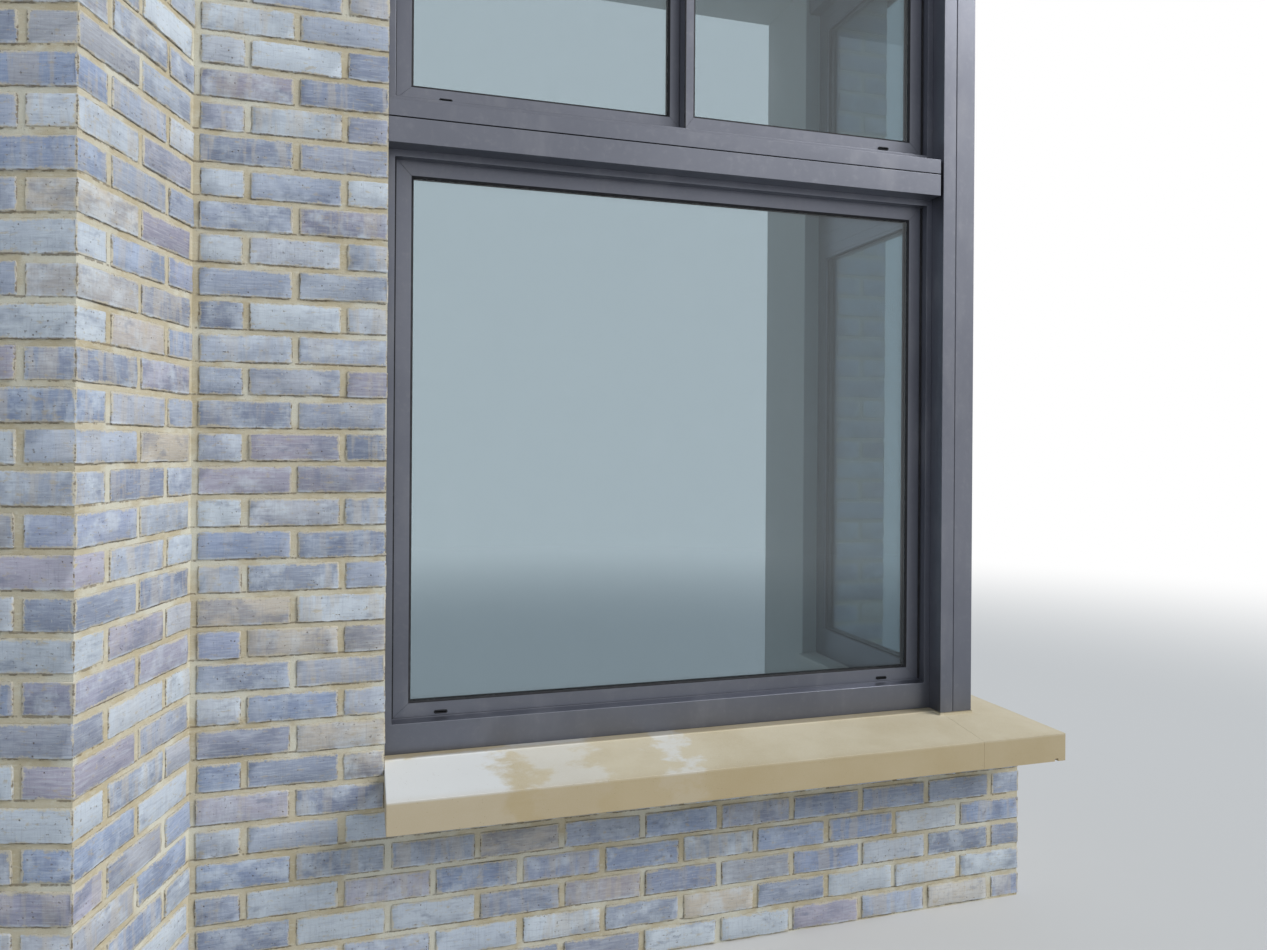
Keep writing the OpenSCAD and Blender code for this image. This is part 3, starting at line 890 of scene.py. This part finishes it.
class Bricklayer:
    """Lays copies of the worn bricks, each with its own turn, colour and pattern."""

    def __init__(self, brick):
        self.brick = brick
        self.full = brick.brick - brick.perpend
        self.half = brick.brick / 2 - brick.perpend
        self.long = [brick_pattern("long_%d" % i, self.full, brick, 10 + i) for i in range(8)]
        self.short = [brick_pattern("short_%d" % i, self.half, brick, 40 + i) for i in range(6)]
        self.chance = random.Random(7)
        self.laid = []

    def colour(self):
        """A brick's own colour, a little off one of the batch's tones."""
        brick = self.brick
        tones = (brick.grey, brick.slate, brick.plum, brick.pale, brick.buff, brick.smoke)
        tone = self.chance.choices(tones, weights=(32, 17, 17, 20, 8, 10))[0]
        other = self.chance.choice(tones)
        blend = self.chance.uniform(0, 0.35)
        light = self.chance.uniform(0.90, 1.12)
        return [(a + (b - a) * blend) * light for a, b in zip(tone, other)] + [1.0]

    def lay(self, corner, along, outward, start, end, course, on_corner):
        """One brick from start to end along a face. A brick on a corner isn't shifted sideways."""
        brick = self.brick
        chance = self.chance
        span = end - start
        source = chance.choice(self.long if span > brick.brick * 0.7 else self.short)
        size = Vector((self.full if span > brick.brick * 0.7 else self.half, self.half, 0))
        size.z = brick.course - brick.joint
        stretch = span / size.x
        mesh = source.data.copy()
        flip = Matrix.Rotation(math.pi * chance.randrange(2), 4, "Y")
        mesh.transform(Matrix.Diagonal((stretch, 1, 1, 1)) @ flip)
        half = [size.x * stretch / 2, size.y / 2, size.z / 2]
        count = len(mesh.vertices)
        spots = [value for vert in mesh.vertices for value in vert.co]
        mesh.attributes["brick_spot"].data.foreach_set("vector", spots)
        mesh.attributes["brick_half"].data.foreach_set("vector", half * count)
        seed = [chance.uniform(0, 90) for _ in range(3)]
        mesh.attributes["brick_seed"].data.foreach_set("vector", seed * count)
        mesh.attributes["brick_colour"].data.foreach_set("color", self.colour() * count)
        loose = 0.0 if on_corner else brick.shift
        middle = corner + along * ((start + end) / 2 + chance.uniform(-loose, loose))
        middle = middle + outward * (brick.proud + chance.uniform(-brick.wander, brick.wander) - size.y / 2)
        middle.z = brick.course * (course + 0.5) - brick.drop + chance.uniform(-brick.shift, brick.shift)
        inward = -outward
        facing = along if along.cross(inward).z > 0 else -along
        turn = Matrix((facing, inward, Vector((0, 0, 1)))).transposed().to_4x4()
        tilt = Matrix.Rotation(chance.uniform(-brick.tilt, brick.tilt), 4, "Y")
        mesh.transform(Matrix.Translation(middle) @ turn @ tilt)
        obj = bpy.data.objects.new("brick", mesh)
        bpy.context.collection.objects.link(obj)
        self.laid.append(obj)

    def row(self, corner, along, outward, start, end, course, on_corner=False, header=False):
        """Bricks from start to end, the last one cut to fit. header halves the first one's length."""
        brick = self.brick
        place = start
        step = brick.brick / 2 if header else brick.brick
        while place < end - SHORTEST:
            stop = min(place + step - brick.perpend, end)
            first = on_corner and place == start
            self.lay(corner, along, outward, place - brick.proud * first, stop, course, first)
            place = place + step
            step = brick.brick

    def finish(self, name, material):
        """Joins what was laid since the last call into one piece."""
        obj = merged(self.laid, name)
        self.laid = []
        dress(obj, material, "brick")

    def clear(self):
        """Removes the pattern bricks."""
        for obj in self.long + self.short:
            bpy.data.objects.remove(obj)


class BAY_OT_masonry(Operator):
    """Give the walls their mortar outside and plaster inside"""

    bl_idname = "bay.masonry"
    bl_label = "Masonry"

    def execute(self, context):
        brick = context.scene.bay_brick
        lining = context.scene.bay_lining
        angle = brick.wing_angle
        wing = wing_corner(brick)
        stub = wing_length(brick)
        top = high("wing_side_wall").z - SLACK

        def plain_bay(finish, place):
            across, deep, up = finish.axes(place)
            room = (deep > ROOM_Y - SLACK) * (across < ROOM_X + SLACK) * (up < PIER_TOP - SLACK)
            return room.most(deep > BACK_Y - SLACK)

        def plain_front(finish, place):
            across, deep, up = finish.axes(place)
            right = across - wing.x
            back = deep - wing.y
            behind = right * math.sin(angle) + back * math.cos(angle) > WING_DEPTH
            cut_end = back * math.sin(angle) - right * math.cos(angle) > stub - SLACK
            return behind.most(cut_end).most(up > top)

        def plain_return(finish, place):
            across, deep, up = finish.axes(place)
            depth = (deep - wing.y) * math.sin(angle) - (across - wing.x) * math.cos(angle)
            return (depth > WING_DEPTH).most(plain_bay(finish, place)).most(up > top)

        bay = masonry_finish("bay masonry", brick, lining, plain_bay)
        for node in WALLS:
            paint_node(node, bay)
        paint_node("wing_front_wall", masonry_finish("wing front masonry", brick, lining, plain_front))
        paint_node("wing_side_wall", masonry_finish("wing return masonry", brick, lining, plain_return))
        return {"FINISHED"}


def wing_corner(brick):
    """The outer corner of the wing, at ground level."""
    run = INNER_CORNER.y - low("wing_side_wall").y
    return Vector((INNER_CORNER.x - run * math.tan(brick.wing_angle), low("wing_side_wall").y, 0))


def wing_length(brick):
    """Length of the wing's front, from its corner to where it is cut."""
    return (wing_corner(brick).x - low("wing_front_wall").x) / math.cos(brick.wing_angle)


class BAY_OT_bricks(Operator):
    """Lay the facing bricks of wing, piers and aprons"""

    bl_idname = "bay.bricks"
    bl_label = "Bricks"

    def execute(self, context):
        brick = context.scene.bay_brick
        material = brick_finish(brick)
        layer = Bricklayer(brick)
        self.lay_wing(brick, layer, material)
        self.lay_bay(brick, layer, material)
        self.lay_right(brick, layer, material)
        layer.clear()
        return {"FINISHED"}

    def lay_wing(self, brick, layer, material):
        angle = brick.wing_angle
        corner = wing_corner(brick)
        left = Vector((-math.cos(angle), math.sin(angle), 0))
        front = Vector((-math.sin(angle), -math.cos(angle), 0))
        back = Vector((math.sin(angle), math.cos(angle), 0))
        right = Vector((math.cos(angle), -math.sin(angle), 0))
        stub = wing_length(brick) - CUT
        inner = (INNER_CORNER.y - corner.y) / math.cos(angle)
        far = (BACK_Y - corner.y) / math.cos(angle) - CUT
        courses = round(high("wing_side_wall").z / brick.course)
        over_roof = high("roof_covering").z
        for course in range(courses):
            stretcher = course % 2 == 0
            skip = brick.brick / 2
            layer.row(corner, left, front, 0 if stretcher else skip, stub, course, stretcher)
        layer.finish("bricks_wing_front", material)
        for course in range(courses):
            stretcher = course % 2 == 1
            end = far if brick.course * (course + 1) > over_roof + 0.02 else inner
            skip = brick.brick / 2
            layer.row(corner, back, right, 0 if stretcher else skip, end, course, stretcher)
        layer.finish("bricks_wing_return", material)

    def lay_bay(self, brick, layer, material):
        """The pier and the apron, laid from their right ends towards the inner corner."""
        left = Vector((-1, 0, 0))
        front = Vector((0, -1, 0))
        reveal = Vector((PIER_X, INNER_CORNER.y, 0))
        pier = PIER_X - INNER_CORNER.x - brick.perpend
        apron_courses = round(APRON_TOP / brick.course)
        for course in range(apron_courses, round(PIER_TOP / brick.course)):
            layer.row(reveal, left, front, 0, pier, course, header=course % 2 == 1)
        layer.finish("bricks_left_pier", material)
        corner = Vector((SIDE_X, INNER_CORNER.y, 0))
        whole = SIDE_X - INNER_CORNER.x - brick.perpend
        for course in range(apron_courses):
            stretcher = course % 2 == 1
            skip = 0 if stretcher else brick.brick / 2
            layer.row(corner, left, front, skip, whole, course, stretcher)
        layer.finish("bricks_front_apron", material)

    def lay_right(self, brick, layer, material):
        back = Vector((0, 1, 0))
        right = Vector((1, 0, 0))
        front = Vector((0, -1, 0))
        apron_courses = round(APRON_TOP / brick.course)
        courses = round(PIER_TOP / brick.course)
        corner = Vector((SIDE_X, INNER_CORNER.y, 0))
        deep = BACK_Y - INNER_CORNER.y - CUT
        for course in range(apron_courses):
            even = course % 2 == 0
            layer.row(corner, back, right, 0 if even else brick.brick / 2, deep, course, even)
        layer.finish("bricks_side_apron", material)
        corner = Vector((SIDE_X, SIDE_END, 0))
        width = SIDE_X - high("side_transom_cover").x + INTO_REVEAL
        deep = BACK_Y - SIDE_END - CUT
        for course in range(apron_courses, courses):
            even = course % 2 == 0
            skip = brick.brick / 2
            layer.row(corner, back, right, skip if even else 0, deep, course, not even)
            layer.row(corner, -right, front, 0 if even else skip, width, course, even)
        layer.finish("bricks_right_pier", material)


# Sill, metalwork and glazing


class BAY_OT_sill(Operator):
    """Model the stones of the sill with worn arrises"""

    bl_idname = "bay.sill"
    bl_label = "Sill"

    def execute(self, context):
        stone = context.scene.bay_stone
        material = stone_finish(stone)
        for node in SILLS:
            dressed_copy(node, node + "_stone", material, "sill_stone", stone.arris)
        return {"FINISHED"}


def bronze_material(metal):
    """The bronze anodising, made once."""
    return bpy.data.materials.get("bronze anodising") or metal_finish(metal)


def rubber_material(glazing):
    """The black rubber, made once."""
    return bpy.data.materials.get("black rubber") or rubber_finish(glazing)


class BAY_OT_window_frames(Operator):
    """Model the window frames, each with the upstand behind its ledge"""

    bl_idname = "bay.window_frames"
    bl_label = "Window Frames"

    def execute(self, context):
        metal = context.scene.bay_metal
        for node in FRAMES:
            dressed_copy(node, node + "_metal", bronze_material(metal), "bronze_metal", metal.arris)
        for light in ("lower_front", "lower_side", "upper_right", "upper_side"):
            self.ledge_lip(light, metal)
        return {"FINISHED"}

    def ledge_lip(self, light, metal):
        """A thin upstand along the back of the ledge, in front of the sash."""
        sash, turn = LIGHTS[light]
        start, end = turned_box(sash, turn)
        lip = block(
            light + "_ledge_lip",
            (start.x + 0.001, start.y - metal.lip * 1.4, start.z - 0.004),
            (end.x - 0.001, start.y - metal.lip * 0.6, start.z + metal.lip * 0.5),
        )
        round_edges(lip, metal.lip * 0.2)
        settle(lip, turn)
        dress(lip, bronze_material(metal), "bronze_metal")


class BAY_OT_sashes(Operator):
    """Model each sash as four mitred members"""

    bl_idname = "bay.sashes"
    bl_label = "Sashes"

    def execute(self, context):
        metal = context.scene.bay_metal
        glazing = context.scene.bay_glazing
        for light, (sash, turn) in LIGHTS.items():
            piece = self.mitred(sash, sash + "_metal", turn, sight(light, glazing), metal)
            round_edges(piece, metal.arris * 0.7)
            settle(piece, turn)
            dress(piece, bronze_material(metal), "bronze_metal", sash)
            beads = light + "_beads"
            dressed_copy(beads, beads + "_metal", bronze_material(metal), "bronze_metal", metal.arris)
        return {"FINISHED"}

    def mitred(self, sash, name, turn, opening, metal):
        """Cuts a sash into four members from its outer corners to the corners of its opening."""
        outer = turned_box(sash, turn)
        rims = [(box[0].x, box[0].z, box[1].x, box[1].z) for box in (outer, opening)]
        corners = [(0, 1), (2, 1), (2, 3), (0, 3)]
        members = []
        for index in range(4):
            member = copy_of(sash, name)
            settle(member, -turn)
            ends = [corners[index], corners[(index + 1) % 4]]
            first, last = (Vector((rims[0][x_pick], 0, rims[0][z_pick])) for x_pick, z_pick in ends)
            middle = (outer[0] + outer[1]) / 2
            self.keep(member, middle, (first + last) / 2 - Vector((middle.x, 0, middle.z)))
            for side, (x_pick, z_pick) in enumerate(ends):
                self.mitre(member, rims, x_pick, z_pick, side, metal.mitre_gap / 2)
            flatten(member)
            weld(member, metal.arris * 0.6)
            members.append(member)
        return merged(members, name)

    def mitre(self, member, rims, x_pick, z_pick, side, gap):
        """Cuts a member along the mitre of one corner, and keeps the part towards its middle."""
        outer, inner = (Vector((rim[x_pick], 0, rim[z_pick])) for rim in rims)
        line = (inner - outer).normalized()
        across = Vector((line.z, 0, -line.x)) * (1 if side == 0 else -1)
        self.keep(member, outer + across * gap, across)

    def keep(self, member, point, side):
        """Keeps what lies on that side of a plane through the point."""
        start_edit(member)
        bpy.ops.mesh.select_all(action="SELECT")
        bpy.ops.mesh.bisect(
            plane_co=point, plane_no=side, use_fill=True, clear_inner=True, threshold=0.000005
        )
        end_edit()


class BAY_OT_transom_and_post(Operator):
    """Model transom, corner post, head beams and roof edge"""

    bl_idname = "bay.transom_and_post"
    bl_label = "Transom and Post"

    def execute(self, context):
        metal = context.scene.bay_metal
        for node in TRIMS:
            dressed_copy(node, node + "_metal", bronze_material(metal), "bronze_metal", metal.arris)
        return {"FINISHED"}


class BAY_OT_glazing(Operator):
    """Model the double glazing with its spacers, gaskets and weather seals"""

    bl_idname = "bay.glazing"
    bl_label = "Glazing"

    def execute(self, context):
        glazing = context.scene.bay_glazing
        glass = glass_finish(glazing)
        rubber = rubber_material(glazing)
        bar = spacer_finish(glazing)
        for light, (sash, turn) in LIGHTS.items():
            start, end = turned_box(light + "_glass", turn)
            self.panes(light, start, end, turn, glazing, glass)
            self.spacer(light, start, end, turn, glazing, bar)
            self.gaskets(light, start, end, turn, glazing, rubber)
            self.seal(light, sash, turn, glazing, rubber)
        return {"FINISHED"}

    def panes(self, light, start, end, turn, glazing, material):
        outer = block(light + "_outer_pane", start, (end.x, start.y + glazing.pane, end.z))
        inner = block(light + "_inner_pane", (start.x, end.y - glazing.pane, start.z), end)
        for pane in (outer, inner):
            round_edges(pane, glazing.pane_arris, 1)
        piece = merged([outer, inner], light + "_panes")
        settle(piece, turn)
        dress(piece, material, "window_glass", light + "_glass")

    def spacer(self, light, start, end, turn, glazing, material):
        gap = Vector((0.0004, glazing.pane + 0.0002, 0.0004))
        piece = ring(light + "_spacer", start + gap, end - gap, glazing.cover * 0.92)
        round_edges(piece, glazing.pane_arris, 1)
        settle(piece, turn)
        dress(piece, material, "bronze_metal")

    def gaskets(self, light, start, end, turn, glazing, material):
        seen_start, seen_end = sight(light, glazing)
        back = start.y - TOUCH
        outside = ring(
            light + "_outer_gasket",
            (seen_start.x, back - glazing.gasket_rise, seen_start.z),
            (seen_end.x, back, seen_end.z),
            glazing.gasket,
            glazing.gasket_slope,
        )
        front = end.y + TOUCH
        tuck = 0.0008
        inside = ring(
            light + "_inner_gasket",
            (seen_start.x - tuck, front, seen_start.z - tuck),
            (seen_end.x + tuck, front + 0.0040, seen_end.z + tuck),
            glazing.gasket * 0.6,
        )
        for piece in (outside, inside):
            round_edges(piece, glazing.rubber_arris)
        piece = merged([outside, inside], light + "_gaskets")
        settle(piece, turn)
        dress(piece, material, "bronze_metal")

    def seal(self, light, sash, turn, glazing, material):
        """Rubber between the frame's lip and the face of the sash. The ledge covers its foot."""
        start, end = turned_box(sash, turn)
        width = glazing.seal
        piece = ring(
            light + "_weather_seal",
            (start.x - 0.0002, start.y - glazing.seal_depth, start.z - width - 0.0010),
            (end.x + 0.0002, start.y - TOUCH, end.z + TOUCH),
            width,
        )
        round_edges(piece, glazing.rubber_arris)
        settle(piece, turn)
        dress(piece, material, "bronze_metal")


class BAY_OT_drain_caps(Operator):
    """Model a drain cap, and copy it to the foot of each window"""

    bl_idname = "bay.drain_caps"
    bl_label = "Drain Caps"

    def execute(self, context):
        glazing = context.scene.bay_glazing
        material = rubber_material(glazing)
        pattern = self.pattern(glazing)
        for light, (sash, turn) in LIGHTS.items():
            start, _ = turned_box(sash, turn)
            seen = sight(light, glazing)
            middle = (start.z + seen[0].z) / 2 - glazing.drain_drop
            ends = {
                "upper_left": (seen[0].x + glazing.panel_left,),
                "upper_right": (seen[1].x - glazing.panel_right,),
            }
            both = (seen[0].x + glazing.drain_left, seen[1].x - glazing.drain_right)
            places = ends.get(light, both)
            caps = []
            for place in places:
                cap = bpy.data.objects.new(light + "_drain_cap", pattern.data.copy())
                bpy.context.collection.objects.link(cap)
                cap.location = (place, start.y, middle)
                caps.append(cap)
            piece = merged(caps, light + "_drain_caps")
            settle(piece, turn)
            dress(piece, material, "bronze_metal")
        bpy.data.objects.remove(pattern)
        return {"FINISHED"}

    def pattern(self, glazing):
        """A cap with round ends and a slot, its back on the plane Y = 0."""
        long_, tall = glazing.drain_length, glazing.drain_height
        cap = block("drain_cap", (-long_ / 2, -0.0022, -tall / 2), (long_ / 2, 0.0010, tall / 2))
        start_edit(cap, "EDGE")
        pick_edges(cap, lambda a, b: abs(a.y - b.y) > 0.001)
        bpy.ops.mesh.bevel(offset=tall * 0.48, segments=5, affect="EDGES")
        bpy.ops.mesh.select_mode(type="FACE")
        pick_faces(cap, lambda middle, normal: normal.y < -0.9)
        bpy.ops.mesh.inset(thickness=0.0006)
        bpy.ops.transform.translate(value=(0, -0.0006, 0))
        bpy.ops.mesh.inset(thickness=0.0022)
        bpy.ops.mesh.inset(thickness=0.0002)
        bpy.ops.transform.translate(value=(0, 0.0016, 0))
        end_edit()
        select_only(cap)
        bpy.ops.object.shade_smooth_by_angle(angle=math.radians(35))
        return cap


# Room and roof


class BAY_OT_room(Operator):
    """Model the ceiling and the window boards"""

    bl_idname = "bay.room"
    bl_label = "Ceiling and Boards"

    def execute(self, context):
        lining = context.scene.bay_lining
        plaster = plaster_finish(lining)
        dressed_copy("ceiling_board", "ceiling_plaster", plaster, "ceiling_plaster", lining.ceiling_arris, 1)
        paint = paint_finish(lining)
        for node in ("front_window_board", "side_window_board"):
            dressed_copy(node, node + "_painted", paint, "painted_timber", lining.board_arris, 3)
        return {"FINISHED"}


class BAY_OT_roof(Operator):
    """Model the roof deck and its rubber covering with laps"""

    bl_idname = "bay.roof"
    bl_label = "Roof"

    def execute(self, context):
        roof = context.scene.bay_roof
        timber = timber_finish(roof)
        dressed_copy("roof_deck", "roof_deck_timber", timber, "roof_timber", roof.deck_arris, 1)
        cover = copy_of("roof_covering", "roof_membrane")
        self.laps(cover, roof)
        round_edges(cover, roof.cover_arris)
        dress(cover, membrane_finish(roof), "roof_membrane", "roof_covering")
        return {"FINISHED"}

    def laps(self, cover, roof):
        """Raises strips across the covering where one sheet laps over the next."""
        top = high("roof_covering").z
        end = high("roof_covering").x
        place = low("roof_covering").x + roof.lap_step
        start_edit(cover)
        strips = []
        while place < end - roof.lap:
            for edge in (place, place + roof.lap):
                bpy.ops.mesh.select_all(action="SELECT")
                bpy.ops.mesh.bisect(plane_co=(edge, 0, 0), plane_no=(1, 0, 0))
            strips.append((place, place + roof.lap))
            place = place + roof.lap_step
        bpy.ops.mesh.select_mode(type="FACE")

        def on_lap(middle, normal):
            inside = any(a < middle.x < b for a, b in strips)
            return inside and normal.z > 0.9 and middle.z > top - 0.001

        bpy.ops.mesh.select_all(action="DESELECT")
        pick_faces(cover, on_lap)
        bpy.ops.mesh.extrude_region_move(TRANSFORM_OT_translate={"value": (0, 0, roof.lap_rise)})
        end_edit()


# Stage


class BAY_OT_stage(Operator):
    """Set the floor, the soft light and the camera"""

    bl_idname = "bay.stage"
    bl_label = "Stage"

    def execute(self, context):
        stage = context.scene.bay_stage
        self.floor(stage)
        self.sky(context, stage)
        self.lamp(stage)
        self.camera(context)
        context.scene.view_settings.view_transform = "Standard"
        return {"FINISHED"}

    def floor(self, stage):
        """A pale floor that runs out into the white background."""
        half = stage.floor_size / 2
        bpy.ops.object.select_all(action="DESELECT")
        bpy.ops.mesh.primitive_circle_add(vertices=96, radius=half, fill_type="NGON", location=(0, 0, 0))
        floor = bpy.context.object
        floor.name = "floor"
        finish = Finish("pale floor", None)
        place = finish.place()
        across, deep, _ = finish.axes(place)
        reach = (across * across + deep * deep).math("SQRT").between(4.0, 10.0)
        cloud = finish.noise(place, 1.5, 3)
        tone = finish.mix(cloud * 0.15, stage.floor, (0.64, 0.64, 0.63))
        matt = finish.add("BsdfDiffuse", None, {"Color": tone})
        white = finish.add("Emission", None, {"Color": (1, 1, 1), "Strength": 1.0})
        finish.surface(finish.add("MixShader", None, {0: reach, 1: matt, 2: white}))
        floor.data.materials.append(finish.material)

    def sky(self, context, stage):
        """White to the camera, in mirrors and through glass, and soft even light otherwise."""
        world = bpy.data.worlds.new("soft sky")
        finish = Finish("soft sky", None, world)
        rays = ("Is Camera Ray", "Is Glossy Ray", "Is Transmission Ray")
        seen, mirrored, through = (finish.add("LightPath", output=ray) for ray in rays)
        light = finish.add("Background", None, {"Color": stage.sky, "Strength": stage.sky_level})
        white = finish.add("Background", None, {"Color": (1, 1, 1)})
        white_share = seen.most(mirrored.most(through))
        finish.surface(finish.add("MixShader", None, {0: white_share, 1: light, 2: white}))
        context.scene.world = world

    def lamp(self, stage):
        """One broad lamp from the right, in front and above."""
        bpy.ops.object.select_all(action="DESELECT")
        bpy.ops.object.light_add(type="SUN", location=(4, -3, 5))
        lamp = bpy.context.object
        lamp.name = "key_lamp"
        lamp.data.energy = stage.lamp_level
        lamp.data.angle = stage.lamp_spread
        lamp.data.color = (1.0, 0.985, 0.96)
        lamp.rotation_euler = Vector((0.68, -0.42, 0.60)).to_track_quat("Z", "Y").to_euler()

    def camera(self, context):
        """The photograph's viewpoint: level, a little right of the wing, turned towards the post."""
        bpy.ops.object.select_all(action="DESELECT")
        bpy.ops.object.camera_add(location=(-0.4241, -2.7215, 1.399))
        camera = bpy.context.object
        camera.name = "camera"
        yaw = Matrix.Rotation(math.radians(-16.753), 4, "Z")
        level = Matrix.Rotation(math.radians(90), 4, "X")
        roll = Matrix.Rotation(math.radians(0.379), 4, "Z")
        camera.matrix_world = Matrix.Translation(camera.location) @ yaw @ level @ roll
        camera.data.sensor_width = FILM
        camera.data.lens = FILM * FOCUS / PHOTO_WIDTH
        camera.data.shift_x = -0.00095
        camera.data.shift_y = -0.02297
        camera.data.clip_end = 200.0
        context.scene.camera = camera


PIECES = (
    BAY_OT_masonry,
    BAY_OT_bricks,
    BAY_OT_sill,
    BAY_OT_window_frames,
    BAY_OT_sashes,
    BAY_OT_transom_and_post,
    BAY_OT_glazing,
    BAY_OT_drain_caps,
    BAY_OT_room,
    BAY_OT_roof,
)


class BAY_PT_panel(Panel):
    """Lists the pieces of the bay window, in the order in which they are made"""

    bl_idname = "BAY_PT_panel"
    bl_label = "Bay Window"
    bl_space_type = "VIEW_3D"
    bl_region_type = "UI"
    bl_category = "Bay Window"

    def draw(self, context):
        for operator in (BAY_OT_stage, *PIECES):
            self.layout.operator(operator.bl_idname)
        for name, group in SETTINGS.items():
            box = self.layout.box()
            settings = getattr(context.scene, name)
            for prop in group.__annotations__:
                box.prop(settings, prop)


CLASSES = (*SETTINGS.values(), BAY_OT_stage, *PIECES, BAY_PT_panel)


def register():
    for cls in CLASSES:
        bpy.utils.register_class(cls)
    for name, group in SETTINGS.items():
        setattr(bpy.types.Scene, name, PointerProperty(type=group))


def unregister():
    for name in SETTINGS:
        delattr(bpy.types.Scene, name)
    for cls in reversed(CLASSES):
        bpy.utils.unregister_class(cls)


def main():
    """Makes every piece in order."""
    register()
    bpy.ops.bay.stage()
    for operator in PIECES:
        group, name = operator.bl_idname.split(".")
        getattr(getattr(bpy.ops, group), name)()


if __name__ == "__main__":
    main()
